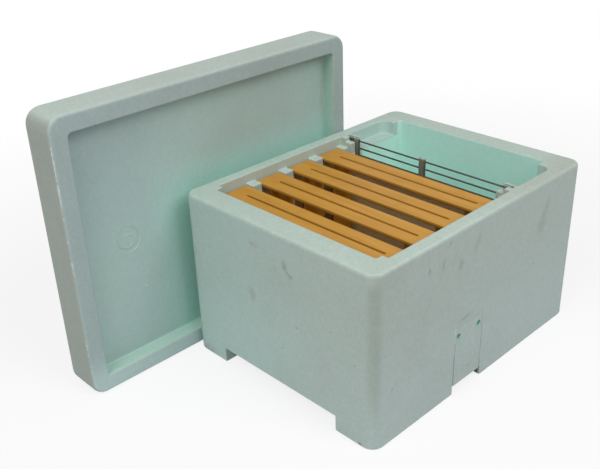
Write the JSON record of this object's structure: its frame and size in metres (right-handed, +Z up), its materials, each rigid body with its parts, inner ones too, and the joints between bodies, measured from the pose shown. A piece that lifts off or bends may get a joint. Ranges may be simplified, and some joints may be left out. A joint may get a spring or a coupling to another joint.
{
  "type": "nuc box",
  "caption": "Open foam nuc box on two long feet with lift-out slotted frames, a wire excluder on the wall of the feed chamber, a slide under the entrance, and its lid stood on edge beside it.",
  "frame": {"origin": "middle of the box's footprint, on the ground; the standing lid is not counted", "axes": "+X along the top bars towards the entrance face, +Y from the frames towards the feed chamber, +Z up"},
  "size_m": [0.2268, 0.3465, 0.223],
  "materials": {
    "foam": "moulded bead foam",
    "tan_plastic": "moulded",
    "grey_plastic": "moulded",
    "steel": "drawn wire"
  },
  "bodies": {
    "box": {"box_body": "foam", "entrance_track": "grey_plastic", "floor_grille": "grey_plastic"},
    "frame_1": {"frame_1_top_bar": "tan_plastic", "frame_1_hoop": "tan_plastic"},
    "frame_2": {"frame_2_top_bar": "tan_plastic", "frame_2_hoop": "tan_plastic"},
    "frame_3": {"frame_3_top_bar": "tan_plastic", "frame_3_hoop": "tan_plastic"},
    "frame_4": {"frame_4_top_bar": "tan_plastic", "frame_4_hoop": "tan_plastic"},
    "excluder": {"excluder_wires": "steel", "excluder_band_left": "steel", "excluder_band_middle": "steel", "excluder_band_right": "steel"},
    "entrance_slide": {"entrance_slide": "tan_plastic"},
    "lid": {"lid": "foam"}
  },
  "joints": [
    {"name": "frame_1_lift", "type": "slide", "parent": "box", "child": "frame_1", "axis": [0, 0, 1], "range_m": [0, 0.11]},
    {"name": "frame_2_lift", "type": "slide", "parent": "box", "child": "frame_2", "axis": [0, 0, 1], "range_m": [0, 0.11]},
    {"name": "frame_3_lift", "type": "slide", "parent": "box", "child": "frame_3", "axis": [0, 0, 1], "range_m": [0, 0.11]},
    {"name": "frame_4_lift", "type": "slide", "parent": "box", "child": "frame_4", "axis": [0, 0, 1], "range_m": [0, 0.11]},
    {"name": "excluder_lift", "type": "slide", "parent": "box", "child": "excluder", "axis": [0, 0, 1], "range_m": [0, 0.04]},
    {"name": "entrance_shut", "type": "slide", "parent": "box", "child": "entrance_slide", "axis": [0, -1, 0], "range_m": [0, 0.032]},
    {"name": "lid_lift", "type": "slide", "parent": "box", "child": "lid", "axis": [0, 0, 1], "range_m": [0, 0.16]}
  ]
}
